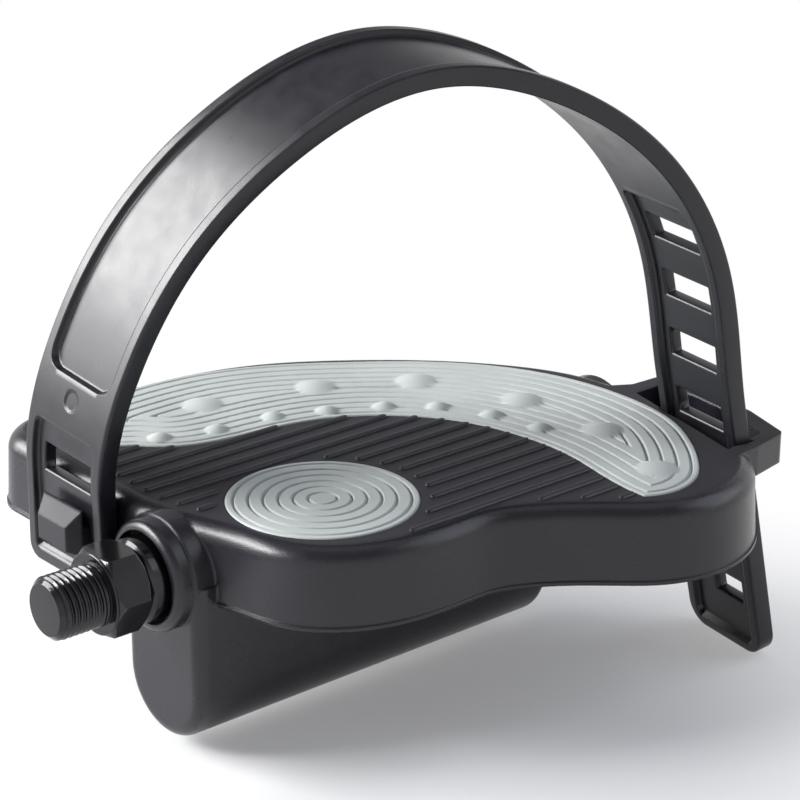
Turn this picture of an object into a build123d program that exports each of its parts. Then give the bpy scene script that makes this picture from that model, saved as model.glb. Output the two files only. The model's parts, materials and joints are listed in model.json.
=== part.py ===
from build123d import *
import math
import os

# Frame: drawn with x = 0 near the keel's crank face, on the axle line, Y to the toe, Z up;
# at the end every piece moves so that the origin is the centre of the spindle shoulder
SHOULDER_X = -16.5

# Platform
TOP_Z = 12.0
RIM_Z = -4.2
WALL_X = -1.5
DRAFT_DEG = 3.0
TOP_ROUND = 4.0
RIM_BEAD = 0.25
RIM_BEAD_T = 0.8
WALL = 2.6
DECK = 4.6
CELL = 13.6
CELL_WALL = 1.8
CELL_ROWS = 10

# Axle boss, bearing seats and keel
BOSS_R = 11.75
LIP_R = 11.3
LIP_X = -5.0
LIP_STEP_X = -1.0
LIP_ROUND = 1.6
TUBE_END_X = 117.0
BORE_R = 7.2
KEEL_R = 12.2
KEEL_CENTRE_Z = -23.1
KEEL_START_X = -1.2
KEEL_END_X = 92.0
KEEL_ROUND = 2.6
KEEL_WALL = 3.0
KEEL_ROOF_Z = -14.0
PLUG_LENGTH = 7.0
BAR_GAP = 0.2

# Inserts in the platform
POCKET_DEPTH = 1.8
DISC_CENTRE = (27.7, -14.4)
DISC_R = 19.0
TREAD_RISE = 0.3
GROOVE_PITCH = 2.91
GROOVE_FIRST = 1.6
GROOVE_COUNT = 6
GROOVE_WIDTH = 0.9
GROOVE_DEPTH = 0.55

# Raised ribs across the platform
RIB_PITCH = 4.81
RIB_FIRST_Y = 30.55
RIB_COUNT = 18
RIB_END_X = 82.0
RIB_WIDTH = 1.1
RIB_HEIGHT = 0.5
RIB_MARGIN = 0.6
RIB_DISC_GAP = 1.6

# Strap lug and strap loop
LUG_Y = (19.4, 31.2)
LUG_Z = (-1.0, 3.5)
LUG_HEAD_Y = (18.6, 32.0)
LUG_HEAD_Z = (-2.0, 8.0)
LUG_FACE_Y = (20.3, 30.0)
LUG_FACE_Z = (-0.5, 4.6)
LUG_REACH = 3.1
LUG_ROOT_X = 4.0
LOOP_Z = 5.5
LOOP_CORNER = 2.0

# Strap
FOOT_W = 26.7
TAIL_W = 24.0
STRAP_T = 4.2
STRAP_RIM = 2.5
STRAP_GAP = 0.4
PANEL_DEPTH = 1.3
STRAP_FOOT_Z = -8.6
STRAP_TURN = 9.0
STRAP_TILT = 9.0
FRAME_S = (2.8, 30.6)
FRAME_CORNER = 1.6
LONG_PANEL_S = (41.0, 190.0)
PANEL_CORNER = 4.0
SLOT_PANEL_S = 198.2
SLOT_W = 14.0
SLOT_H = 5.4
SLOT_PITCH = 13.1
SLOT_FIRST_S = 206.8
SLOT_COUNT = 6
TAIL_HOLE_W = 8.5
TAIL_HOLE_H = 4.6
TAIL_HOLE_S = 287.0
TAIL_HOLE_SHIFT = -2.0
WINDOW_W = 16.0
WINDOW_S = 22.8
MARK_S = 36.8
MARK_R = 2.3
MARK_DEPTH = 0.3
TAIL_CORNER = 5.0
FOOT_CORNER = 3.5

# Spindle and bearings
THREAD_R = 6.35
THREAD_LENGTH = 10.8
THREAD_CHAMFER = 1.2
FLANGE_R = 8.2
FLANGE_T = 0.5
HEX_FLATS = 16.0
HEX_END_X = -8.6
COLLAR_R = 8.4
COLLAR_END_X = 0.5
COLLAR_CHAMFER = 1.0
BALL_R = 1.985
SEAT_GAP = 0.01
RACE_GAP = 0.05
CUP_GAP = 0.9
JOURNAL_GAP = 0.7
SHAFT_R = 5.5
STUD_R = 3.5
STUD_START_X = 82.5
STUD_END_X = 99.0
INNER_X = 4.0
INNER_PITCH_R = 7.0
INNER_COUNT = 10
INNER_SEAT_R = 9.5
INNER_STEP_X = 8.0
OUTER_X = 86.0
OUTER_PITCH_R = 6.2
OUTER_COUNT = 9
OUTER_SEAT_R = 8.7
OUTER_STEP_X = 82.0
CUP_LENGTH = 7.0
CONE_END_X = 90.0
WASHER_T = 1.2
WASHER_R = 6.4
NUT_FLATS = 11.0
NUT_T = 5.5
CAP_R = 9.8
CAP_T = 1.6
CAP_GAP = 0.2
CAP_DEPTH = 5.0
CAP_WALL = 1.4

# Platform outline at the rim: crank wall, then round by the heel, the outer side and the toe
RIM_START = (WALL_X, 8.0)
RIM_HEEL = [(4.6, -16.5), (7.6, -28.0), (14.8, -36.1), (25.1, -40.6), (38.5, -41.7), (48.4, -42.0),
            (57.9, -46.4), (66.5, -53.0), (74.1, -59.4), (87.0, -63.6), (100.2, -60.8), (109.9, -53.0)]
RIM_OUTER = [(118.0, -30.0), (118.6, -12.0), (116.5, 5.6), (108.3, 21.3)]
RIM_TOE = [(100.9, 30.5), (83.8, 45.8), (66.1, 56.8), (52.2, 61.2), (36.6, 62.8)]
RIM_CORNER_R = 12.0
RIM_CORNER_Y = 50.4
RIM_STATIONS = 44

# Crescent outline, its inner edge from the crank side to the heel and its outer edge back
CRESCENT_INNER = [(15.5, 31.9), (28.3, 23.1), (43.5, 21.1), (56.7, 17.5), (68.7, 8.6), (75.3, -0.8),
                  (79.6, -15.7), (80.0, -28.0), (77.4, -42.0), (76.4, -53.6)]
CRESCENT_OUTER = [(84.1, -55.9), (91.1, -53.8), (97.5, -48.4), (104.8, -39.1), (110.2, -28.2),
                  (112.4, -12.0), (109.3, 7.3), (97.4, 26.9), (80.5, 41.5), (63.6, 52.3), (48.0, 57.6),
                  (30.0, 58.6), (14.0, 54.5), (8.6, 43.5)]

# Strap centreline: foot, arch and straight tail
FOOT_MID_Y = 26.2
ARCH_START = (WALL_X - STRAP_T / 2, FOOT_MID_Y, 12.0)
ARCH = [(-1.9, 25.2, 26.0), (1.6, 23.2, 38.0), (11.4, 18.4, 58.5), (30.5, 8.4, 80.6), (55.8, -4.8, 93.2),
        (78.8, -16.8, 87.6), (97.6, -26.4, 71.5), (108.6, -31.8, 47.5)]
ARCH_END = (112.2, -34.4, 20.0)
TAIL_END = (120.9, -39.7, -37.5)

# Strap loop and the opening in it, seen from above
LOOP = [(100.0, -51.5), (113.0, -50.4), (122.6, -48.6), (126.6, -36.0), (128.4, -22.0), (128.4, -9.0),
        (119.0, -8.6), (113.0, -5.0), (104.0, -5.0)]
LOOP_OPENING = [(107.0, -47.6), (119.0, -46.0), (122.8, -35.0), (124.4, -22.0), (124.4, -12.4),
                (115.8, -12.4)]


def along_x(profile, race=None):
    """Revolve a list of (x, radius) points about the axle, with a groove for balls if one is given."""
    face = make_face(Polyline(*profile, close=True))
    if race:
        x, pitch_r, groove_r = race
        face = face - Pos(x, pitch_r) * Circle(groove_r)
    return revolve(Plane.XZ * face, Axis.X)


def rod(x0, x1, radius):
    """Round bar on the axle."""
    return along_x([(x0, 0), (x1, 0), (x1, radius), (x0, radius)])


def ring(x0, x1, inner, outer, race=None):
    """Ring on the axle, plain or with a groove for balls."""
    return along_x([(x0, inner), (x1, inner), (x1, outer), (x0, outer)], race)


def hexagon(x0, x1, flats):
    """Hexagonal bar on the axle with its corners turned off at both ends."""
    bar = Plane.YZ.offset(x0) * RegularPolygon(flats / 2, 6, major_radius=False)
    bar = extrude(bar, x1 - x0)
    corner = flats / math.sqrt(3)
    drop = corner - flats / 2
    cone = along_x([(x0, 0), (x0, flats / 2), (x0 + drop, corner),
                    (x1 - drop, corner), (x1, flats / 2), (x1, 0)])
    return bar & cone


def balls(x, pitch_r, count):
    """Row of separate balls."""
    turns = [2 * math.pi * i / count for i in range(count)]
    spots = [(x, pitch_r * math.cos(turn), pitch_r * math.sin(turn)) for turn in turns]
    return Compound([Pos(*spot) * Sphere(BALL_R) for spot in spots])


def box(x, y, z):
    """Box between three pairs of limits."""
    size = [pair[1] - pair[0] for pair in (x, y, z)]
    centre = [(pair[0] + pair[1]) / 2 for pair in (x, y, z)]
    return Pos(*centre) * Box(*size)


def rectangle(x, y, z):
    """Upright rectangle across the axle direction."""
    corners = [(x, y[0], z[0]), (x, y[1], z[0]), (x, y[1], z[1]), (x, y[0], z[1])]
    return make_face(Polyline(*corners, close=True))


def slab(outline, z0, z1):
    """Flat plate with the given outline."""
    return extrude(Pos(0, 0, z0) * outline, z1 - z0, dir=(0, 0, 1))


def keel_section(x, radius, roof_z):
    """U-shaped section with a round bottom."""
    bottom = KEEL_CENTRE_Z - radius
    line = Polyline((radius, KEEL_CENTRE_Z), (radius, roof_z), (-radius, roof_z), (-radius, KEEL_CENTRE_Z))
    curve = ThreePointArc((-radius, KEEL_CENTRE_Z), (0, bottom), (radius, KEEL_CENTRE_Z))
    return Plane.YZ.offset(x) * make_face([line, curve])


corner_centre = (WALL_X + RIM_CORNER_R, RIM_CORNER_Y)
corner_top = (corner_centre[0], RIM_CORNER_Y + RIM_CORNER_R)
rim_spline = Spline(RIM_START, *RIM_HEEL, *RIM_OUTER, *RIM_TOE, corner_top,
                    tangents=[(0, -1), (-1, 0)], tangent_scalars=[1, 1])
rim_curve = Wire([rim_spline, CenterArc(corner_centre, RIM_CORNER_R, 90, 90)])


def platform(inset):
    """Platform outline, moved in from the rim at right angles to it."""
    points = []
    for i in range(RIM_STATIONS + 1):
        run = rim_curve.tangent_at(i / RIM_STATIONS)
        spot = rim_curve.position_at(i / RIM_STATIONS)
        points.append((spot.X - run.Y * inset, spot.Y + run.X * inset))
    return make_face([Spline(*points), Line(points[-1], points[0])])


# Outlines seen from above
rim_face = platform(0)
inner_edge = Spline(*CRESCENT_INNER)
outer_edge = Spline(CRESCENT_INNER[-1], *CRESCENT_OUTER, CRESCENT_INNER[0])
crescent_face = make_face([inner_edge, outer_edge])
disc_face = Pos(*DISC_CENTRE) * Circle(DISC_R)


# Platform: drafted block with a rounded top edge and a rim bead, cored from below into square cells
shoulder_z = TOP_Z - TOP_ROUND
draft = (shoulder_z - RIM_Z) * math.tan(math.radians(DRAFT_DEG))
block = loft([Pos(0, 0, RIM_Z) * rim_face, Pos(0, 0, shoulder_z) * platform(draft)], ruled=True)
round_steps = [math.radians(angle) for angle in (0, 25, 50, 72, 90)]
block += loft([Pos(0, 0, shoulder_z + TOP_ROUND * math.sin(a))
               * platform(draft + TOP_ROUND * (1 - math.cos(a))) for a in round_steps])
core_face = platform(draft + WALL)
core_centre = core_face.bounding_box().center()
cells = []
for spot in GridLocations(CELL, CELL, CELL_ROWS, CELL_ROWS):
    square = Pos(core_centre.X, core_centre.Y) * spot * Rectangle(CELL - CELL_WALL, CELL - CELL_WALL)
    cells += [slab(piece, RIM_Z - 1, TOP_Z - DECK)
              for piece in (core_face & square).faces() if piece.area > CELL]
body = block - cells
bead = slab(platform(-RIM_BEAD) - platform(WALL / 2), RIM_Z, RIM_Z + RIM_BEAD_T)
foot_y = (FOOT_MID_Y - FOOT_W / 2 - STRAP_GAP, FOOT_MID_Y + FOOT_W / 2 + STRAP_GAP)
body = body + bead - box((WALL_X - STRAP_T, WALL_X), foot_y, (RIM_Z, TOP_Z))

# Axle tube with its rounded lip, and the keel below it
lip = rod(LIP_X, LIP_STEP_X, LIP_R)
lip = fillet(lip.edges().sort_by(Axis.X)[0], LIP_ROUND)
tube = rod(LIP_STEP_X, TUBE_END_X, BOSS_R) + lip
keel = extrude(keel_section(KEEL_START_X, KEEL_R, 0), KEEL_END_X - KEEL_START_X)
keel = fillet(keel.faces().sort_by(Axis.X)[0].edges().filter_by(lambda e: e.center().Z < -1), KEEL_ROUND)
keel = fillet(keel.faces().sort_by(Axis.X)[-1].edges().filter_by(lambda e: e.center().Z < -1), KEEL_ROUND)
body = body + tube + keel

# Strap loop on the outer side and lug on the crank side
loop = slab(make_face(Polyline(*LOOP, close=True)), LOOP_Z, TOP_Z)
loop = fillet(loop.edges().filter_by(Axis.Z), LOOP_CORNER)
body = body + loop
body = body - slab(make_face(Polyline(*LOOP_OPENING, close=True)), RIM_Z - 1, TOP_Z + 1)
head_x = WALL_X - STRAP_T - STRAP_GAP
neck = box((head_x, LUG_ROOT_X), LUG_Y, LUG_Z)
head = loft([rectangle(head_x, LUG_HEAD_Y, LUG_HEAD_Z),
             rectangle(head_x - LUG_REACH, LUG_FACE_Y, LUG_FACE_Z)])
body = body + neck + head

# Bearing seats, axle bore, keel cavity and insert pockets
body = body - rod(LIP_X, INNER_STEP_X, INNER_SEAT_R)
body = body - rod(INNER_STEP_X, OUTER_STEP_X, BORE_R)
body = body - rod(OUTER_STEP_X, TUBE_END_X, OUTER_SEAT_R)
body = body - rod(TUBE_END_X, TUBE_END_X + 2 * CAP_T, CAP_R + CAP_GAP)
cavity_r = KEEL_R - KEEL_WALL
body = body - extrude(keel_section(KEEL_WALL, cavity_r, KEEL_ROOF_Z), KEEL_END_X - KEEL_WALL)
pocket_z = TOP_Z - POCKET_DEPTH
body = body - slab(crescent_face, pocket_z, TOP_Z + 1)
body = body - slab(disc_face, pocket_z, TOP_Z + 1)

# Raised ribs with round ends, kept clear of the inserts and of the rounded edge
rib_area = platform(draft + TOP_ROUND)
rib_free_disc = Pos(*DISC_CENTRE) * Circle(DISC_R + RIB_DISC_GAP)
ribs = []
for i in range(RIB_COUNT):
    y = RIB_FIRST_Y - RIB_PITCH * i
    runs = (Line((WALL_X, y), (RIB_END_X, y)) & rib_area) - crescent_face - rib_free_disc
    for run in runs.edges():
        length = run.length - 2 * RIB_MARGIN
        if length > 2 * RIB_WIDTH:
            rib = Pos(*run.center()) * SlotOverall(length, RIB_WIDTH)
            ribs.append(slab(rib, TOP_Z - RIB_HEIGHT, TOP_Z + RIB_HEIGHT))
body = body + ribs

# Strap path, and the ribbon's directions along it
foot_point = (ARCH_START[0], ARCH_START[1], STRAP_FOOT_Z)
tail_dir = (Vector(*TAIL_END) - Vector(*ARCH_END)).normalized()
arch = Spline(ARCH_START, *ARCH, ARCH_END,
              tangents=[(0, 0, 1), tuple(tail_dir)], tangent_scalars=[1, 1])
path = Wire([Line(foot_point, ARCH_START), arch, Line(ARCH_END, TAIL_END)])
PATH_LENGTH = path.length


def strap_frame(s):
    """Point, width direction, outward direction and half width of the ribbon at a distance along it."""
    u = s / PATH_LENGTH
    point = path.position_at(u)
    turn = math.radians(STRAP_TURN) * u
    lean = u ** 2 * (1 - u) ** 4
    lean_peak = (1 / 3) ** 2 * (2 / 3) ** 4
    tilt = math.radians(STRAP_TILT) * lean / lean_peak
    across = Vector(math.sin(turn) * math.cos(tilt), math.cos(turn) * math.cos(tilt), math.sin(tilt))
    outward = path.tangent_at(u).cross(across).normalized()
    return point, across, outward, (FOOT_W + (TAIL_W - FOOT_W) * u) / 2


def strap_band(span, side, n, count):
    """Ribbon between two distances along the strap, widened by side, with faces n off the centre."""
    sections = []
    for i in range(count):
        point, across, outward, half = strap_frame(span[0] + (span[1] - span[0]) * i / (count - 1))
        half += side
        corners = [point + across * a + outward * b for a, b in
                   ((-half, n[0]), (half, n[0]), (half, n[1]), (-half, n[1]))]
        sections.append(make_face(Polyline(*corners, close=True)))
    return loft(sections)


def strap_plane(s):
    """Plane across the ribbon: x along its width, y down its length, z outward."""
    point, across, outward, half = strap_frame(s)
    return Plane(origin=point, x_dir=across, z_dir=outward)


# Strap: ribbon with raised rims round its panels, slots for the lug and for the length setting
half_t = STRAP_T / 2
outer_n = (half_t - PANEL_DEPTH, half_t + 1)
inner_n = (-half_t - 1, PANEL_DEPTH - half_t)
strap = strap_band((0, PATH_LENGTH), 0, (-half_t, half_t), 31)
for end, corner in ((foot_point, FOOT_CORNER), (TAIL_END, TAIL_CORNER)):
    end_face = strap.faces().sort_by_distance(end)[0]
    strap = fillet(end_face.edges().filter_by(lambda e: e.length < 2 * STRAP_T), corner)
slot_panel_s = (SLOT_PANEL_S, PATH_LENGTH - STRAP_RIM)
for span, n, count, corner in ((FRAME_S, outer_n, 4, FRAME_CORNER), (LONG_PANEL_S, outer_n, 15, PANEL_CORNER),
                               (slot_panel_s, inner_n, 9, FRAME_CORNER)):
    panel = strap_band(span, -STRAP_RIM, n, count)
    strap = strap - fillet(panel.edges().filter_by(lambda e: e.length < STRAP_T), corner)
setting_slot = Box(SLOT_W, SLOT_H, 4 * STRAP_T)
slots = [strap_plane(SLOT_FIRST_S + SLOT_PITCH * i) * setting_slot for i in range(SLOT_COUNT)]
slots.append(strap_plane(WINDOW_S) * Box(WINDOW_W, SLOT_H, 4 * STRAP_T))
slots.append(strap_plane(TAIL_HOLE_S) * Pos(TAIL_HOLE_SHIFT, 0, 0)
             * Box(TAIL_HOLE_W, TAIL_HOLE_H, 4 * STRAP_T))
slots.append(box((WALL_X - 2 * STRAP_T, WALL_X + 1), (LUG_Y[0] - STRAP_GAP, LUG_Y[1] + STRAP_GAP),
                 (LUG_Z[0], LUG_Z[1] + STRAP_GAP)))
slots.append(strap_plane(MARK_S) * Pos(0, 0, half_t) * Cylinder(MARK_R, 2 * MARK_DEPTH))
strap = strap - slots

# Passage for the strap's tail through the loop
tail_length = (Vector(*TAIL_END) - Vector(*ARCH_END)).length
clear_t = half_t + STRAP_GAP
passage = strap_band((PATH_LENGTH - tail_length, PATH_LENGTH), STRAP_GAP, (-clear_t, clear_t), 3)
body = body - passage

# Soft inserts, seated on their pocket floors; the round one has grooves all round
tread_z = TOP_Z + TREAD_RISE
crescent = slab(crescent_face, pocket_z, tread_z)
disc_profile = [(0, pocket_z), (DISC_R, pocket_z), (DISC_R, tread_z)]
for i in range(GROOVE_COUNT):
    groove_r = DISC_R - GROOVE_FIRST - GROOVE_PITCH * i
    disc_profile += [(groove_r + GROOVE_WIDTH / 2, tread_z), (groove_r, tread_z - GROOVE_DEPTH),
                     (groove_r - GROOVE_WIDTH / 2, tread_z)]
disc_profile.append((0, tread_z))
disc = Pos(*DISC_CENTRE) * revolve(Plane.XZ * make_face(Polyline(*disc_profile, close=True)), Axis.Z)

# Spindle: thread, flange, hexagon, collar, ball race, shaft and end stud
journal_r = INNER_PITCH_R - JOURNAL_GAP
thread_x = SHOULDER_X - THREAD_LENGTH
spindle = along_x([(thread_x, 0), (thread_x, THREAD_R - THREAD_CHAMFER),
                   (thread_x + THREAD_CHAMFER, THREAD_R), (SHOULDER_X, THREAD_R),
                   (SHOULDER_X, FLANGE_R), (SHOULDER_X + FLANGE_T, FLANGE_R),
                   (SHOULDER_X + FLANGE_T, THREAD_R), (HEX_END_X, THREAD_R),
                   (HEX_END_X, COLLAR_R - COLLAR_CHAMFER), (HEX_END_X + COLLAR_CHAMFER, COLLAR_R),
                   (COLLAR_END_X, COLLAR_R), (COLLAR_END_X, journal_r),
                   (INNER_STEP_X - COLLAR_CHAMFER, journal_r), (INNER_STEP_X, SHAFT_R),
                   (STUD_START_X, SHAFT_R), (STUD_START_X, STUD_R), (STUD_END_X, STUD_R), (STUD_END_X, 0)],
                  (INNER_X, INNER_PITCH_R, BALL_R + RACE_GAP))
spindle = spindle + hexagon(SHOULDER_X + FLANGE_T, HEX_END_X, HEX_FLATS)

# Bearings and the pieces that close the outer end
inner_cup = ring(INNER_STEP_X - CUP_LENGTH, INNER_STEP_X, INNER_PITCH_R + CUP_GAP, INNER_SEAT_R,
                 (INNER_X, INNER_PITCH_R, BALL_R + SEAT_GAP))
outer_cup = ring(OUTER_STEP_X, OUTER_STEP_X + CUP_LENGTH, OUTER_PITCH_R + CUP_GAP, OUTER_SEAT_R,
                 (OUTER_X, OUTER_PITCH_R, BALL_R + SEAT_GAP))
outer_cone = ring(STUD_START_X, CONE_END_X, STUD_R, OUTER_PITCH_R - JOURNAL_GAP,
                  (OUTER_X, OUTER_PITCH_R, BALL_R + RACE_GAP))
washer_end_x = CONE_END_X + WASHER_T
lock_washer = ring(CONE_END_X, washer_end_x, STUD_R, WASHER_R)
nut_end_x = washer_end_x + NUT_T
lock_nut = hexagon(washer_end_x, nut_end_x, NUT_FLATS) - rod(washer_end_x, nut_end_x, STUD_R)
dust_cap = along_x([(TUBE_END_X - CAP_DEPTH, OUTER_SEAT_R - CAP_WALL), (TUBE_END_X, OUTER_SEAT_R - CAP_WALL),
                    (TUBE_END_X, 0), (TUBE_END_X + CAP_T, 0), (TUBE_END_X + CAP_T, CAP_R - CAP_T / 2),
                    (TUBE_END_X + CAP_T / 2, CAP_R), (TUBE_END_X, CAP_R), (TUBE_END_X, OUTER_SEAT_R),
                    (TUBE_END_X - CAP_DEPTH, OUTER_SEAT_R)])

# Counterweight on the keel floor and the plug behind it
plug_x = KEEL_END_X - PLUG_LENGTH
bar_r = cavity_r - BAR_GAP
bar_section = Pos(0, 0, -BAR_GAP) * keel_section(KEEL_WALL, bar_r, KEEL_ROOF_Z)
counterweight = extrude(bar_section, plug_x - KEEL_WALL)
keel_plug = extrude(keel_section(plug_x, cavity_r, KEEL_ROOF_Z), PLUG_LENGTH)

nodes = {
    "pedal_body": body,
    "toe_tread": crescent,
    "heel_tread": disc,
    "strap": strap,
    "spindle": spindle,
    "inner_cup": inner_cup,
    "inner_balls": balls(INNER_X, INNER_PITCH_R, INNER_COUNT),
    "outer_cup": outer_cup,
    "outer_balls": balls(OUTER_X, OUTER_PITCH_R, OUTER_COUNT),
    "outer_cone": outer_cone,
    "lock_washer": lock_washer,
    "lock_nut": lock_nut,
    "dust_cap": dust_cap,
    "counterweight": counterweight,
    "keel_plug": keel_plug,
}
os.makedirs("parts", exist_ok=True)
for name, shape in nodes.items():
    export_step(Pos(-SHOULDER_X, 0, 0) * shape, f"parts/{name}.step")
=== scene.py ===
import bmesh
import bpy
import json
import math
import numpy as np
from mathutils import Matrix, Vector


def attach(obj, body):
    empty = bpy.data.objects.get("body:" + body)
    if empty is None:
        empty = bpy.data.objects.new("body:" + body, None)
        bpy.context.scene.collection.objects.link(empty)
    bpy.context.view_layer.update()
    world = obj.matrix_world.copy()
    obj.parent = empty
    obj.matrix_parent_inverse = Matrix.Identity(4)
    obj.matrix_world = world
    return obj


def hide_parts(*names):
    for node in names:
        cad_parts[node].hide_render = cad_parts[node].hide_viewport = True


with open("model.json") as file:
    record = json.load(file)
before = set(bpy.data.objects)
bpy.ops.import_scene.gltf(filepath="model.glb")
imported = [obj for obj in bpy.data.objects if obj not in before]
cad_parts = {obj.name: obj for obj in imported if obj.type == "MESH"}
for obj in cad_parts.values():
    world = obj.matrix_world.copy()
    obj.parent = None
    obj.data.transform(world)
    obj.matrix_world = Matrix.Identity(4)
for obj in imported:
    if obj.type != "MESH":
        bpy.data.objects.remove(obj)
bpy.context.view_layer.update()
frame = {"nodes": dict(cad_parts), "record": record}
nodes = frame["nodes"]

# Units: sizes are in millimetres unless their heading or name says otherwise, and Blender's are metres
MM = 0.001
MERGE = 0.001
DECIMALS = 4

# Camera found from the photo: place, angles in degrees, focal length in pixels of the photo's width
CAMERA_SPOT = (-232.53, -360.44, 203.39)
CAMERA_YAW = 40.58
CAMERA_PITCH = 21.08
CAMERA_ROLL = -0.194
FOCAL_PIXELS = 2487.31
PHOTO_PIXELS = 800
SENSOR = 36
CLIP_METRES = (0.01, 50)

# Treads: lands between narrow grooves that follow the outline
LAND_Z = 12.3
POCKET_Z = 10.2
EDGE_ROUND = 0.5
GROOVE_FIRST = 1.6
GROOVE_STEP = 2.91
GROOVE_COUNT = 6
GROOVE_HALF = 0.42
GROOVE_DEPTH = 0.55
GROOVE_STEEP = 1.4

# Toe tread: places of its bumps, then the radius and rise of each kind
BIG_BUMPS = [(56.1, 40.9), (81.2, 33.9), (100.2, 22.7), (110.0, -0.6), (110.9, -23.9), (104.5, -45.9)]
SMALL_BUMPS = [(38.2, 31.4), (49.8, 27.5), (63.2, 25.8), (74.1, 21.2), (84.8, 15.3), (93.6, 7.9),
               (99.2, -2.9), (101.8, -14.8)]
BIG_BUMP = (4.6, 0.9)
SMALL_BUMP = (2.7, 1.0)
BUMP_POWER = 1.2
BUMP_INSET = 1.2

# Toe tread: shares of a bump's radius at which grooves start to fade in, and over which they do
BUMP_CLEAR = 0.85
BUMP_FADE = 0.3

# Toe tread: its grid, and the share of its length at each tip that has no rows
TOE_ROWS = 520
TOE_COLUMNS = 170
ROW_CROWDING = 0.6
TIP_SHARE = 0.002
LEVEL_SLACK = 0.001

# Heel tread
DISC_CENTRE = (44.2, -14.4)
DISC_R = 19.0
DISC_RINGS = 200
DISC_TURNS = 240

# Spindle, by distance along the axle from its shoulder
THREAD_R = 6.35
THREAD_START = -10.8
THREAD_PITCH = 25.4 / 20
THREAD_DEPTH = 0.6
THREAD_CHAMFER = 1.2
THREAD_END_STEP = 0.05
RUNOUT_GAP = 0.4
RUNOUT_LENGTH = 1.2
FLANGE_R = 8.2
FLANGE_T = 0.5
FLANGE_ROUND = 0.2
HEX_FLATS = 16.0
HEX_END = 7.9
HEX_TURNED = 0.15
HEX_SLOPE = 1.3
COLLAR_R = 8.4
COLLAR_END = 17.0
COLLAR_CHAMFER = 1
JOURNAL_R = 6.3
JOURNAL_END = 24.5
JOURNAL_TAPER = 1
SHAFT_R = 5.5
SHAFT_END = 99.0
STUD_R = 3.5
STUD_END = 115.5
SPINDLE_TURNS = 144
THREAD_ROWS = 170
HEX_ROWS = 40
SHARP_DEGREES = 32

# Strap: centreline points from its foot to its tail, then how far it turns and leans, in degrees
STRAP_FOOT = (12.9, 26.2, -8.6)
STRAP_ARCH = [(12.9, 26.2, 12.0), (14.6, 25.2, 26.0), (18.1, 23.2, 38.0), (27.9, 18.4, 58.5),
              (47.0, 8.4, 80.6), (72.3, -4.8, 93.2), (95.3, -16.8, 87.6), (114.1, -26.4, 71.5),
              (125.1, -31.8, 47.5), (128.7, -34.4, 20.0)]
STRAP_TAIL = (137.4, -39.7, -37.5)
STRAP_TURN = 9.0
STRAP_TILT = 9.0
LEAN_PEAK = 1 / 3
CURVE_STEP = 0.05
DIRECTION_STEP = 0.2

# Strap: sizes across it
FOOT_W = 26.7
TAIL_W = 24.0
STRAP_T = 4.2
STRAP_RIM = 2.5
STRAP_ROUND = 0.6
FOOT_CORNER = 3.5
TAIL_CORNER = 5.0

# Strap: its panels, slots, holes and plain round mark, by distance along it from its foot
PANEL_DEPTH = 1.3
PANEL_EASE = 0.5
FRAME_SPAN = (2.8, 30.6)
FRAME_CORNER = 1.6
LONG_SPAN = (41.0, 190.0)
LONG_CORNER = 4.0
SLOT_PANEL_S = 198.2
SLOT_FIRST = 206.8
SLOT_STEP = 13.1
SLOT_COUNT = 6
SLOT_SIZE = (14.0, 5.4)
WINDOW_S = 22.8
WINDOW_SIZE = (16.0, 5.4)
LUG_HOLE_S = 10.05
LUG_HOLE_W = -0.9
LUG_HOLE_SIZE = (12.6, 4.9)
TAIL_HOLE_S = 287.0
TAIL_HOLE_W = -2.0
TAIL_HOLE_SIZE = (8.5, 4.6)
MARK_S = 36.8
MARK_R = 2.3
MARK_DEPTH = 0.3
MARK_EASE = 0.4

# Strap: its grid, finer beside edges, with the mark's margin and count of lines along and across
PLAIN_ALONG = 1.4
PLAIN_ACROSS = 0.8
MIDDLE_HALF = 8.6
EDGE_STEPS = (0, 0.08, 0.22, 0.4, 0.6)
CORNER_START = 1.0
CORNER_STEP = 0.4
CORNER_LINES = 12
RIM_STEPS = np.array([0, 0.04, 0.12, 0.25, 0.42, 0.6, 1.1, 1.7, 2.2, 2.5, 2.58, 2.72, 2.9, 3.1])
BESIDE_SHARES = np.array([0.25, 0.5, 0.75])
MARK_MARGIN = (0.2, 0.1)
MARK_LINES = (26, 17)
CLOSE = 1e-6

# Materials: the cloudy noise, the fine grain, what counts as level, and the lug that the strap rubs dull
CLOUD_RANGE = (0.3, 0.7)
CLOUD_DETAIL = 4
GRAIN_SCALE = 2600
GRAIN_DETAIL = 2
GRAIN_HEIGHT = 0.1
LEVEL_RANGE = (0.97, 0.995)
LUG_SPOT = (9.0, 25.2, 3.0)
RUBBED_REACH = (7, 11)
RUBBED_ROUGH = 0.28
BEVEL_SAMPLES = 6

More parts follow.
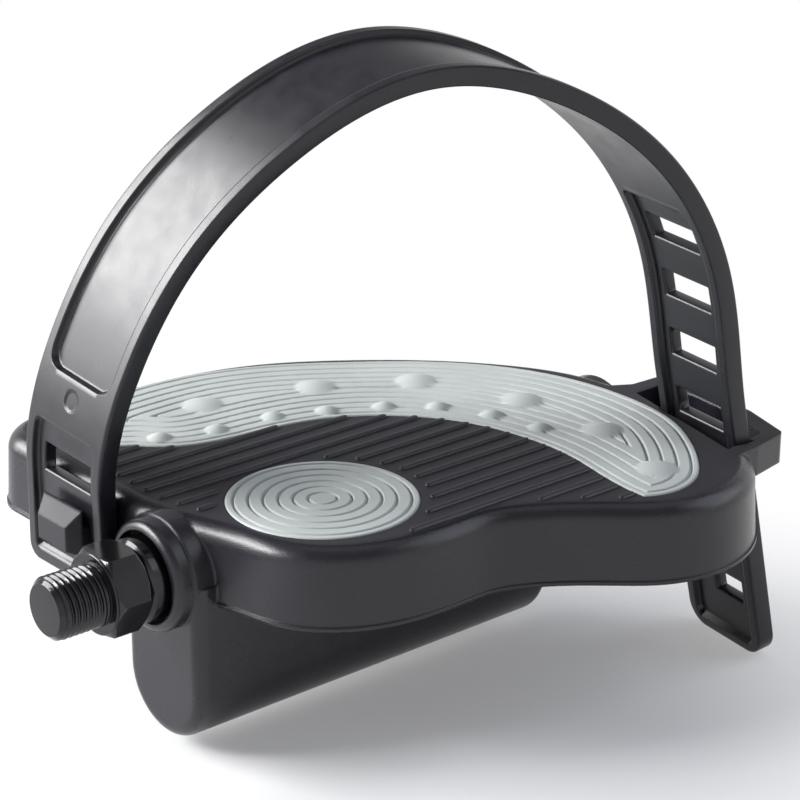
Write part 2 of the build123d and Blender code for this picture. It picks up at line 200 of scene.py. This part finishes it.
# Finishes by the name of their slot: darkest and lightest colour, least and most roughness, and grain
FINISHES = {
    "body_plastic": dict(dark=(0.008, 0.008, 0.012), light=(0.013, 0.013, 0.019), rough=(0.23, 0.31),
                         grain=0.4, edge=0.8, deck_rough=0.45, rubbed=LUG_SPOT),
    "strap_rubber": dict(dark=(0.009, 0.009, 0.0125), light=(0.014, 0.014, 0.0195), rough=(0.27, 0.36),
                         grain=0.1, edge=0, mottle=200),
    "tread_rubber": dict(dark=(0.46, 0.49, 0.47), light=(0.54, 0.57, 0.55), rough=(0.55, 0.65), grain=0.05,
                         edge=0, specular=0.2),
    "black_steel": dict(dark=(0.03, 0.03, 0.032), light=(0.045, 0.045, 0.048), rough=(0.1, 0.16), grain=0.08,
                        metal=0.9, edge=0.2),
    "bearing_steel": dict(dark=(0.5, 0.5, 0.51), light=(0.62, 0.62, 0.63), rough=(0.2, 0.3), grain=0.03,
                          metal=1.0),
    "plain_steel": dict(dark=(0.4, 0.4, 0.41), light=(0.52, 0.52, 0.53), rough=(0.3, 0.42), grain=0.05,
                        metal=1.0),
    "cap_plastic": dict(dark=(0.013, 0.013, 0.014), light=(0.02, 0.02, 0.021), rough=(0.4, 0.5), grain=0.1),
    "weight_iron": dict(dark=(0.08, 0.08, 0.08), light=(0.14, 0.135, 0.13), rough=(0.5, 0.65), grain=0.3,
                        metal=0.9),
}

# Floor where the keel stands, and the reach in metres over which it turns from shadowed to plain white
FLOOR_Z = -38.2
FLOOR_HALF_METRES = 6
FLOOR_COLOUR = (0.95, 0.95, 0.95, 1)
FLOOR_ROUGH = 0.8
FLOOR_SPECULAR = 0.1
GLOW_REACH = (0.11, 0.24)
GLOW_NEAR = 0.22

# Background: light that it gives, and its brightness as seen from level to overhead
WORLD_COLOUR = (0.82, 0.85, 1, 1)
WORLD_LIGHT = 0.18
OVERHEAD_RANGE = (0.17, 0.77)
SEEN_LEVEL = 1.0
SEEN_OVERHEAD = 0.3

# Lamps: place, width and height in metres, watts and colour, all turned to one point
AIM = Vector((0.07, 0.0, 0.02))
WHITE = (1, 1, 1)
COOL = (0.85, 0.88, 1)
LAMPS = {
    "key_softbox": ((-0.65, 0.86, 0.57), 0.6, 0.67, 20, WHITE),
    "low_softbox": ((-0.72, 0.9, 0.11), 0.7, 0.24, 2.5, WHITE),
    "rim_softbox": ((-0.95, 0.5, 0.65), 0.3, 0.35, 11, WHITE),
    "top_softbox": ((0.3, 0.1, 1.2), 0.9, 0.9, 1.2, COOL),
    "fill_softbox": ((0.9, -0.5, 0.7), 0.9, 0.9, 4, COOL),
}


def smooth(x):
    """Ease from 0 to 1."""
    x = np.clip(x, 0, 1)
    return x * x * (3 - 2 * x)


def line_run(points):
    """Distance along a line of points to each of them."""
    return np.concatenate([[0], np.cumsum(np.linalg.norm(np.diff(points, axis=0), axis=1))])


def points_along(points, run, at):
    """Points on a line at given distances along it."""
    return np.stack([np.interp(at, run, points[:, i]) for i in range(points.shape[1])], axis=1)


def grid_faces(rows, columns):
    """Quads over a grid of points, joined round."""
    faces = []
    for i in range(rows - 1):
        for j in range(columns):
            k = (j + 1) % columns
            faces.append((i * columns + j, i * columns + k, (i + 1) * columns + k, (i + 1) * columns + j))
    return faces


def piece(name, points, faces, node):
    """Smooth mesh from points in millimetres that stands for a CAD node and rides on its body."""
    mesh = bpy.data.meshes.new(name)
    mesh.from_pydata((np.asarray(points) * MM).tolist(), [], faces)
    shape = bmesh.new()
    shape.from_mesh(mesh)
    bmesh.ops.remove_doubles(shape, verts=shape.verts, dist=MERGE * MM)
    bmesh.ops.recalc_face_normals(shape, faces=shape.faces)
    shape.to_mesh(mesh)
    shape.free()
    mesh.shade_smooth()
    made = bpy.data.objects.new(name, mesh)
    bpy.context.collection.objects.link(made)
    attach(made, next(b for b, held in frame["record"]["behaviour"]["bodies"].items() if node in held))
    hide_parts(node)
    return made


# Treads
def tread_groove(inset):
    """Depth of the grooves at a distance in from a tread's outline."""
    turn = (inset - GROOVE_FIRST) / GROOVE_STEP
    off = np.abs((turn + 0.5) % 1 - 0.5) * GROOVE_STEP
    counted = np.abs(turn - GROOVE_COUNT / 2 + 0.5) < GROOVE_COUNT / 2
    return GROOVE_DEPTH * smooth((GROOVE_HALF - off) / GROOVE_HALF * GROOVE_STEEP) * counted


def edge_drop(inset):
    """Fall of a tread's rounded outer edge."""
    return EDGE_ROUND - np.sqrt(EDGE_ROUND ** 2 - np.clip(EDGE_ROUND - inset, 0, EDGE_ROUND) ** 2)


def top_outline(node):
    """Corner points of a flat insert's top face, in order round it, in millimetres."""
    mesh = nodes[node].data
    spots = [tuple(round(c / MM, DECIMALS) for c in v.co) for v in mesh.vertices]
    high = max(s[2] for s in spots)
    sides = []
    for polygon in mesh.polygons:
        ring = [spots[i] for i in polygon.vertices]
        if min(s[2] for s in ring) > high - LEVEL_SLACK:
            sides += zip(ring, ring[1:] + ring[:1])
    known = set(sides)
    after = {a: b for a, b in sides if (b, a) not in known}
    loop = [next(iter(after))]
    while after[loop[-1]] != loop[0]:
        loop.append(after[loop[-1]])
    return np.array(loop)[:, :2]


def long_edges(outline):
    """The crescent's two long edges, between its sharp corner and the round end at its least X."""
    ahead = np.roll(outline, -1, axis=0) - outline
    behind = outline - np.roll(outline, 1, axis=0)
    crossed = ahead[:, 0] * behind[:, 1] - ahead[:, 1] * behind[:, 0]
    bend = np.abs(np.arctan2(crossed, (ahead * behind).sum(axis=1)))
    first, last = sorted([np.argmax(bend), np.argmin(outline[:, 0])])
    return [outline[first:last + 1], np.concatenate([outline[last:], outline[:first + 1]])[::-1]]


def outline_distance(points, loop):
    """Distance from each point to a closed outline."""
    best = np.full(len(points), np.inf)
    for a, b in zip(loop, np.roll(loop, -1, axis=0)):
        along = b - a
        t = np.clip((points - a) @ along / (along @ along), 0, 1)
        best = np.minimum(best, np.linalg.norm(points - a - t[:, None] * along, axis=1))
    return best


def toe_tread():
    """Crescent with grooves and bumps: a fine sheet between the insert's two long edges, closed below."""
    outline = top_outline("toe_tread")
    even = np.linspace(0, 1, TOE_ROWS)
    crowded = even - ROW_CROWDING * np.sin(2 * math.pi * even) / (2 * math.pi)
    row_shares = np.array([0, *crowded[(crowded > TIP_SHARE) & (crowded < 1 - TIP_SHARE)], 1])
    rows = len(row_shares)
    edges = []
    for edge in long_edges(outline):
        run = line_run(edge)
        edges.append(points_along(edge, run, row_shares * run[-1]))
    share = np.linspace(0, 1, TOE_COLUMNS)[None, :, None]
    flat = edges[0][:, None, :] * (1 - share) + edges[1][:, None, :] * share
    inset = outline_distance(flat.reshape(-1, 2), outline).reshape(rows, TOE_COLUMNS)
    groove = tread_groove(inset)
    domes = np.zeros_like(inset)
    for spots, (radius, rise) in ((BIG_BUMPS, BIG_BUMP), (SMALL_BUMPS, SMALL_BUMP)):
        for spot in spots:
            away = np.linalg.norm(flat - np.array(spot), axis=2) / radius
            groove *= smooth((away - BUMP_CLEAR) / BUMP_FADE)
            domes = np.maximum(domes, rise * np.clip(1 - away ** 2, 0, 1) ** BUMP_POWER)
    height = LAND_Z - groove - edge_drop(inset) + domes * smooth(inset / BUMP_INSET)
    top = np.concatenate([flat, height[:, :, None]], axis=2)
    floor = np.full(rows, POCKET_Z)
    under = np.stack([np.column_stack([edge, floor]) for edge in reversed(edges)], axis=1)
    sheet = np.concatenate([top, under], axis=1)
    return piece("toe_tread_surface", sheet.reshape(-1, 3), grid_faces(rows, TOE_COLUMNS + 2), "toe_tread")


def heel_tread():
    """Turned disc with grooves whose edges are rounded."""
    radii = np.linspace(0, DISC_R, DISC_RINGS)
    levels = LAND_Z - tread_groove(DISC_R - radii) - edge_drop(DISC_R - radii)
    profile = list(zip(radii, levels)) + [(DISC_R, POCKET_Z), (0, POCKET_Z)]
    turns = np.linspace(0, 2 * math.pi, DISC_TURNS, endpoint=False)
    x, y = DISC_CENTRE
    points = [(x + r * math.cos(t), y + r * math.sin(t), z) for r, z in profile for t in turns]
    return piece("heel_tread_surface", points, grid_faces(len(profile), DISC_TURNS), "heel_tread")


# Spindle
def hex_radius(along, turn):
    """Radius of the spanner hexagon, with its corners turned off at both ends."""
    corner_turn = (turn + math.pi / 6) % (math.pi / 3) - math.pi / 6
    side = HEX_FLATS / 2 / np.cos(math.pi / 6 - np.abs(corner_turn))
    end = np.minimum(along - FLANGE_T, HEX_END - along)
    return np.minimum(side, HEX_FLATS / 2 + HEX_TURNED + end * HEX_SLOPE)


def thread_radius(along, turn):
    """Radius of the screw thread, with a chamfer at its end and a run-out at the shoulder."""
    turnwise = ((along - THREAD_START) / THREAD_PITCH - turn / (2 * math.pi)) % 1
    cut = THREAD_DEPTH * (0.5 - 0.5 * np.cos(2 * math.pi * turnwise))
    cut = cut * smooth((-RUNOUT_GAP - along) / RUNOUT_LENGTH)
    chamfer = THREAD_R - THREAD_CHAMFER + (along - THREAD_START)
    return np.minimum(THREAD_R - cut, chamfer)


def turned_spindle():
    """One surface whose radius changes along the axle and, on the thread and hexagon, round it."""
    turns = np.linspace(0, 2 * math.pi, SPINDLE_TURNS, endpoint=False)
    rings = [(THREAD_START, 0), (THREAD_START, THREAD_R - THREAD_CHAMFER - THREAD_END_STEP)]
    rings += [(x, thread_radius(x, turns)) for x in np.linspace(THREAD_START, 0, THREAD_ROWS)]
    rings += [(0, FLANGE_R - FLANGE_ROUND), (FLANGE_ROUND, FLANGE_R),
              (FLANGE_T - FLANGE_ROUND, FLANGE_R), (FLANGE_T, FLANGE_R - FLANGE_ROUND)]
    rings += [(x, hex_radius(x, turns)) for x in np.linspace(FLANGE_T, HEX_END, HEX_ROWS)]
    rings += [(HEX_END, COLLAR_R - COLLAR_CHAMFER), (HEX_END + COLLAR_CHAMFER, COLLAR_R),
              (COLLAR_END, COLLAR_R), (COLLAR_END, JOURNAL_R), (JOURNAL_END - JOURNAL_TAPER, JOURNAL_R),
              (JOURNAL_END, SHAFT_R), (SHAFT_END, SHAFT_R), (SHAFT_END, STUD_R), (STUD_END, STUD_R),
              (STUD_END, 0)]
    points = []
    for x, radius in rings:
        for r, t in zip(np.broadcast_to(radius, SPINDLE_TURNS), turns):
            points.append((x, r * math.cos(t), r * math.sin(t)))
    made = piece("spindle_turned", points, grid_faces(len(rings), SPINDLE_TURNS), "spindle")
    made.data.set_sharp_from_angle(angle=math.radians(SHARP_DEGREES))
    return made


# Strap: a ribbon along a smooth centreline, with recessed panels, slots and rounded edges
def smooth_curve(points, first_dir, last_dir, step):
    """Points a small step apart on the smooth curve through given points, with set end directions."""
    knots = line_run(points)
    gaps = np.diff(knots)
    count = len(points)
    system = np.eye(count)
    pull = np.zeros((count, 3))
    pull[0] = first_dir
    pull[-1] = last_dir
    for i in range(1, count - 1):
        a = gaps[i - 1]
        b = gaps[i]
        system[i, i - 1:i + 2] = 1 / a, 2 / a + 2 / b, 1 / b
        pull[i] = 3 * (points[i] - points[i - 1]) / a ** 2 + 3 * (points[i + 1] - points[i]) / b ** 2
    slopes = np.linalg.solve(system, pull)
    at = np.linspace(0, knots[-1], round(knots[-1] / step))
    i = np.clip(np.searchsorted(knots, at, side="right") - 1, 0, count - 2)
    h = gaps[i][:, None]
    u = (at - knots[i])[:, None] / h
    return ((1 + 2 * u) * (1 - u) ** 2 * points[i] + u * (1 - u) ** 2 * h * slopes[i]
            + u ** 2 * (3 - 2 * u) * points[i + 1] + u ** 2 * (u - 1) * h * slopes[i + 1])


def inside_depth(s, w, span, half, corner):
    """Distance in from the edge of a rounded rectangle along the strap, below 0 outside it."""
    along = np.abs(s - (span[0] + span[1]) / 2) - (span[1] - span[0]) / 2 + corner
    over = np.abs(w) - half + corner
    outside = np.hypot(np.maximum(along, 0), np.maximum(over, 0))
    return corner - outside - np.minimum(np.maximum(along, over), 0)


def round_over(depth):
    """Fall of a rounded edge at a distance in from it."""
    short = np.clip(STRAP_ROUND - depth, 0, STRAP_ROUND)
    return STRAP_ROUND - np.sqrt(STRAP_ROUND ** 2 - short ** 2)


def feature_lines(lines, spacing, low, high):
    """Grid lines at even spacing, with given lines among them and none squeezed beside those."""
    extra = np.unique(np.round(lines, DECIMALS))
    extra = extra[(extra > low) & (extra < high)]
    plain = np.arange(low, high, spacing)
    clear = np.abs(plain[:, None] - extra[None]).min(axis=1) > spacing / 3
    clear[0] = True
    return np.unique(np.concatenate([plain[clear], extra, [high]]))


def mark_lines(axis):
    """Grid lines over the round mark, measured from its middle: axis 0 along the strap, 1 across it."""
    reach = MARK_R + MARK_MARGIN[axis]
    return np.linspace(-reach, reach, MARK_LINES[axis])


def hole_lines(axis):
    """Grid lines just outside the edges of the holes: axis 0 along the strap, 1 across it."""
    lines = []
    for s, w, size in STRAP_HOLES:
        middle = (s, w)[axis]
        half = size[1 - axis] / 2
        lines += [middle + side * (half + step) for side in (-1, 1) for step in EDGE_STEPS]
    return lines


def lines_along():
    """Places of the grid's lines along the strap, from foot to tail."""
    lines = [*hole_lines(0), *(MARK_S + mark_lines(0))]
    for span, corner, _ in STRAP_PANELS:
        for step in (*EDGE_STEPS, *np.arange(CORNER_START, corner + CORNER_STEP, CORNER_STEP)):
            lines += [span[0] + step, span[1] - step]
    between = feature_lines(lines, PLAIN_ALONG, FOOT_CORNER, STRAP_LENGTH - TAIL_CORNER)
    rounded = 1 - np.cos(np.linspace(0, math.pi / 2, CORNER_LINES)[:-1])
    return np.concatenate([FOOT_CORNER * rounded, between, (STRAP_LENGTH - TAIL_CORNER * rounded)[::-1]])


def lines_across(s_lines, half_width):
    """Places of the grid's points across the strap at each line along it, drawn in at its round ends."""
    middle = feature_lines([*hole_lines(1), *mark_lines(1)], PLAIN_ACROSS, -MIDDLE_HALF, MIDDLE_HALF)
    room = half_width - RIM_STEPS[-1] - middle[-1]
    beside = middle[-1] + room[:, None] * BESIDE_SHARES
    across = np.concatenate([RIM_STEPS[None] - half_width[:, None], -beside[:, ::-1],
                             np.repeat(middle[None], len(s_lines), axis=0),
                             beside, half_width[:, None] - RIM_STEPS[None, ::-1]], axis=1)
    squeeze = np.ones(len(s_lines))
    for end, corner in ((s_lines, FOOT_CORNER), (STRAP_LENGTH - s_lines, TAIL_CORNER)):
        short = np.clip(corner - end, 0, corner)
        squeeze *= 1 - (corner - np.sqrt(corner ** 2 - short ** 2)) / half_width
    return across * squeeze[:, None]


def strap_levels(s_grid, w_grid, half_grid):
    """Heights of the strap's outer face, 1, and inner face, -1, over its middle surface."""
    edge = np.minimum(inside_depth(s_grid, w_grid, (0, STRAP_LENGTH * 2), half_grid, FOOT_CORNER),
                      inside_depth(s_grid, w_grid, (-STRAP_LENGTH, STRAP_LENGTH), half_grid, TAIL_CORNER))
    for s, w, size in STRAP_HOLES:
        beside = -inside_depth(s_grid, w_grid - w, (s - size[1] / 2, s + size[1] / 2), size[0] / 2, 0)
        edge = np.where(beside > -CLOSE, np.minimum(edge, beside), edge)
    fall = round_over(np.clip(edge, 0, None))
    levels = {1: STRAP_T / 2 - fall, -1: fall - STRAP_T / 2}
    for span, corner, side in STRAP_PANELS:
        depth = inside_depth(s_grid, w_grid, span, half_grid - STRAP_RIM, corner)
        levels[side] -= side * PANEL_DEPTH * smooth(depth / PANEL_EASE)
    from_mark = np.hypot(s_grid - MARK_S, w_grid)
    levels[1] -= MARK_DEPTH * smooth((MARK_R - from_mark) / MARK_EASE)
    return levels


def strap_directions(s_lines, share_along):
    """Directions across the strap and out of its outer face at each line along it."""
    ahead = points_along(centreline, strap_run, s_lines + DIRECTION_STEP)
    back = points_along(centreline, strap_run, s_lines - DIRECTION_STEP)
    turn = math.radians(STRAP_TURN) * share_along
    lean = share_along ** 2 * (1 - share_along) ** 4 / (LEAN_PEAK ** 2 * (1 - LEAN_PEAK) ** 4)
    tilt = math.radians(STRAP_TILT) * lean
    across = np.stack([np.sin(turn) * np.cos(tilt), np.cos(turn) * np.cos(tilt), np.sin(tilt)], axis=1)
    outward = np.cross(ahead - back, across)
    outward /= np.linalg.norm(outward, axis=1)[:, None]
    return across, outward


def strap_faces(s_grid, w_grid):
    """Quads over both faces of the strap and down the walls of its outline and holes."""
    rows, columns = s_grid.shape
    mid_s = (s_grid[1:, 1:] + s_grid[:-1, :-1]) / 2
    mid_w = (w_grid[1:, 1:] + w_grid[:-1, :-1]) / 2
    solid = np.zeros((rows + 1, columns + 1), bool)
    solid[1:-1, 1:-1] = True
    for s, w, size in STRAP_HOLES:
        solid[1:-1, 1:-1] &= (np.abs(mid_s - s) > size[1] / 2) | (np.abs(mid_w - w) > size[0] / 2)
    under = rows * columns
    faces = []
    for i, j in zip(*np.nonzero(solid[1:-1, 1:-1])):
        a = int(i * columns + j)
        square = (a, a + 1, a + columns + 1, a + columns)
        faces.append(square)
        faces.append(tuple(under + v for v in reversed(square)))
        for beyond, p, q in ((solid[i, j + 1], 0, 1), (solid[i + 1, j + 2], 1, 2),
                             (solid[i + 2, j + 1], 2, 3), (solid[i + 1, j], 3, 0)):
            if not beyond:
                faces.append((square[q], square[p], under + square[p], under + square[q]))
    return faces


def moulded_strap():
    """The whole strap."""
    s_lines = lines_along()
    share_along = s_lines / STRAP_LENGTH
    half_width = (FOOT_W + (TAIL_W - FOOT_W) * share_along) / 2
    w_grid = lines_across(s_lines, half_width)
    s_grid = np.repeat(s_lines[:, None], w_grid.shape[1], axis=1)
    half_grid = np.repeat(half_width[:, None], w_grid.shape[1], axis=1)
    levels = strap_levels(s_grid, w_grid, half_grid)
    across, outward = strap_directions(s_lines, share_along)
    middle = points_along(centreline, strap_run, s_lines)[:, None] + across[:, None] * w_grid[:, :, None]
    skins = [middle + outward[:, None] * levels[side][:, :, None] for side in (1, -1)]
    points = np.concatenate([skin.reshape(-1, 3) for skin in skins])
    return piece("strap_moulded", points, strap_faces(s_grid, w_grid), "strap")


arch = np.array(STRAP_ARCH)
tail_dir = np.array(STRAP_TAIL) - arch[-1]
tail_dir /= np.linalg.norm(tail_dir)
centreline = np.concatenate([[STRAP_FOOT], smooth_curve(arch, (0, 0, 1), tail_dir, CURVE_STEP), [STRAP_TAIL]])
strap_run = line_run(centreline)
STRAP_LENGTH = strap_run[-1]

# Strap holes: place along and across it, then size across and along. Panels: span, corner radius, face
STRAP_HOLES = [(SLOT_FIRST + SLOT_STEP * i, 0, SLOT_SIZE) for i in range(SLOT_COUNT)]
STRAP_HOLES += [(WINDOW_S, 0, WINDOW_SIZE), (LUG_HOLE_S, LUG_HOLE_W, LUG_HOLE_SIZE),
                (TAIL_HOLE_S, TAIL_HOLE_W, TAIL_HOLE_SIZE)]
STRAP_PANELS = [(FRAME_SPAN, FRAME_CORNER, 1), (LONG_SPAN, LONG_CORNER, 1),
                ((SLOT_PANEL_S, STRAP_LENGTH - STRAP_RIM), FRAME_CORNER, -1)]


# Materials
def add_node(tree, kind, inputs, **settings):
    """New shader node with its settings, and a value or a link at each named or numbered input."""
    made = tree.nodes.new("ShaderNode" + kind)
    for name, value in settings.items():
        setattr(made, name, value)
    for socket, value in inputs.items():
        if isinstance(value, bpy.types.NodeSocket):
            tree.links.new(value, made.inputs[socket])
        else:
            made.inputs[socket].default_value = value
    return made


def map_range(tree, value, span, low, high, **settings):
    """Output that goes from low to high as a value goes over a span."""
    inputs = {"Value": value, "From Min": span[0], "From Max": span[1], "To Min": low, "To Max": high}
    return add_node(tree, "MapRange", inputs, **settings).outputs["Result"]


def material(name, dark, light, rough, grain, metal=0.0, edge=0.4, mottle=60, deck_rough=0.0, rubbed=None,
             specular=0.5):
    """Surface with cloudy colour and gloss, a fine grain and softened edges, duller where level or rubbed."""
    made = bpy.data.materials.new(name)
    made.use_nodes = True
    tree = made.node_tree
    shader = tree.nodes["Principled BSDF"]
    shader.inputs["Specular IOR Level"].default_value = specular
    shader.inputs["Metallic"].default_value = metal
    place = add_node(tree, "TexCoord", {})
    spot = place.outputs["Object"]
    noise = add_node(tree, "TexNoise", {"Vector": spot, "Scale": mottle, "Detail": CLOUD_DETAIL})
    cloud = noise.outputs["Fac"]
    ramp = add_node(tree, "ValToRGB", {"Fac": cloud})
    for stop, position, colour in zip(ramp.color_ramp.elements, CLOUD_RANGE, (dark, light)):
        stop.position = position
        stop.color = (*colour, 1)
    tree.links.new(ramp.outputs["Color"], shader.inputs["Base Color"])
    roughness = map_range(tree, cloud, CLOUD_RANGE, *rough)
    if deck_rough:
        facing = add_node(tree, "SeparateXYZ", {"Vector": place.outputs["Normal"]}).outputs["Z"]
        level = map_range(tree, facing, LEVEL_RANGE, 0, deck_rough)
        roughness = add_node(tree, "Math", {0: roughness, 1: level}).outputs["Value"]
    if rubbed:
        middle = tuple(c * MM for c in rubbed)
        away = add_node(tree, "VectorMath", {0: spot, 1: middle}, operation="DISTANCE").outputs["Value"]
        dull = map_range(tree, away, [r * MM for r in RUBBED_REACH], RUBBED_ROUGH, 0)
        roughness = add_node(tree, "Math", {0: roughness, 1: dull}).outputs["Value"]
    tree.links.new(roughness, shader.inputs["Roughness"])
    fine = add_node(tree, "TexNoise", {"Vector": spot, "Scale": GRAIN_SCALE, "Detail": GRAIN_DETAIL})
    bump = add_node(tree, "Bump", {"Height": fine.outputs["Fac"], "Strength": grain,
                                   "Distance": GRAIN_HEIGHT * MM})
    if edge:
        soft = add_node(tree, "Bevel", {"Radius": edge * MM}, samples=BEVEL_SAMPLES)
        tree.links.new(soft.outputs["Normal"], bump.inputs["Normal"])
    tree.links.new(bump.outputs["Normal"], shader.inputs["Normal"])
    return made


# Stage
def seen_directly(tree):
    """Output that is 1 for rays from the camera, from a reflection or through glass."""
    ray = add_node(tree, "LightPath", {})
    shown = ray.outputs["Is Camera Ray"]
    for kind in ("Is Glossy Ray", "Is Transmission Ray"):
        shown = add_node(tree, "Math", {0: shown, 1: ray.outputs[kind]}, operation="MAXIMUM").outputs["Value"]
    return shown


def lay_floor():
    """White floor that keeps the object's shadow and turns plain white further out."""
    mesh = bpy.data.meshes.new("floor")
    corners = [(-1, -1), (1, -1), (1, 1), (-1, 1)]
    mesh.from_pydata([(x * FLOOR_HALF_METRES, y * FLOOR_HALF_METRES, FLOOR_Z * MM) for x, y in corners],
                     [], [(0, 1, 2, 3)])
    floor = bpy.data.objects.new("floor", mesh)
    bpy.context.collection.objects.link(floor)
    white = bpy.data.materials.new("white_floor")
    white.use_nodes = True
    tree = white.node_tree
    paint = tree.nodes["Principled BSDF"]
    paint.inputs["Base Color"].default_value = FLOOR_COLOUR
    paint.inputs["Roughness"].default_value = FLOOR_ROUGH
    paint.inputs["Specular IOR Level"].default_value = FLOOR_SPECULAR
    glow = add_node(tree, "Emission", {"Strength": 1.0})
    spot = add_node(tree, "TexCoord", {}).outputs["Object"]
    reach = add_node(tree, "VectorMath", {0: spot}, operation="LENGTH").outputs["Value"]
    far = map_range(tree, reach, GLOW_REACH, GLOW_NEAR, 1, interpolation_type="SMOOTHSTEP")
    shown = add_node(tree, "Math", {0: far, 1: seen_directly(tree)}, operation="MULTIPLY").outputs["Value"]
    blend = add_node(tree, "MixShader", {"Fac": shown, 1: paint.outputs["BSDF"], 2: glow.outputs["Emission"]})
    tree.links.new(blend.outputs["Shader"], tree.nodes["Material Output"].inputs["Surface"])
    mesh.materials.append(white)


def light_background():
    """White to the camera and in reflections, dimmer overhead, and a cooler fill as light."""
    world = bpy.data.worlds.new("studio")
    bpy.context.scene.world = world
    world.use_nodes = True
    tree = world.node_tree
    fill = tree.nodes["Background"]
    fill.inputs["Color"].default_value = WORLD_COLOUR
    fill.inputs["Strength"].default_value = WORLD_LIGHT
    direction = add_node(tree, "TexCoord", {}).outputs["Generated"]
    rise = add_node(tree, "SeparateXYZ", {"Vector": direction}).outputs["Z"]
    brightness = map_range(tree, rise, OVERHEAD_RANGE, SEEN_LEVEL, SEEN_OVERHEAD,
                           interpolation_type="SMOOTHSTEP")
    seen = add_node(tree, "Background", {"Color": (*WHITE, 1), "Strength": brightness})
    mix = add_node(tree, "MixShader", {"Fac": seen_directly(tree), 1: fill.outputs["Background"],
                                       2: seen.outputs["Background"]})
    tree.links.new(mix.outputs["Shader"], tree.nodes["World Output"].inputs["Surface"])


def softbox(name, spot, width, height, watts, colour):
    """Area light at a place in metres, turned to the point that all lamps face."""
    lamp = bpy.data.lights.new(name, "AREA")
    lamp.shape = "RECTANGLE"
    lamp.size = width
    lamp.size_y = height
    lamp.energy = watts
    lamp.color = colour
    made = bpy.data.objects.new(name, lamp)
    bpy.context.collection.objects.link(made)
    made.location = spot
    away = made.location - AIM
    made.rotation_euler = away.to_track_quat("Z", "Y").to_euler()


def place_camera():
    """Camera at the photo's viewing angle."""
    yaw = math.radians(CAMERA_YAW)
    pitch = math.radians(CAMERA_PITCH)
    roll = math.radians(CAMERA_ROLL)
    forward = Vector((math.sin(yaw) * math.cos(pitch), math.cos(yaw) * math.cos(pitch), -math.sin(pitch)))
    level = Vector((math.cos(yaw), -math.sin(yaw), 0))
    down = forward.cross(level)
    right = math.cos(roll) * level + math.sin(roll) * down
    up = math.sin(roll) * level - math.cos(roll) * down
    lens = bpy.data.cameras.new("camera")
    lens.sensor_width = SENSOR
    lens.lens = SENSOR * FOCAL_PIXELS / PHOTO_PIXELS
    lens.clip_start, lens.clip_end = CLIP_METRES
    camera = bpy.data.objects.new("camera", lens)
    bpy.context.collection.objects.link(camera)
    turn = Matrix((right, up, -forward)).transposed().to_4x4()
    camera.matrix_world = Matrix.Translation(Vector(CAMERA_SPOT) * MM) @ turn
    bpy.context.scene.camera = camera


# The pieces that replace solids, then the finish of every solid and piece
pieces = {"toe_tread": toe_tread(), "heel_tread": heel_tread(), "spindle": turned_spindle(),
          "strap": moulded_strap()}
finishes = {name: material(name, **values) for name, values in FINISHES.items()}
for row in frame["record"]["subparts"]:
    finish = finishes[row["material_slot"]]
    mesh = nodes[row["node"]].data
    mesh.materials.clear()
    mesh.materials.append(finish)
    if row["node"] in pieces:
        pieces[row["node"]].data.materials.append(finish)

lay_floor()
light_background()
for name, values in LAMPS.items():
    softbox(name, *values)
place_camera()
bpy.context.scene.view_settings.view_transform = "Standard"
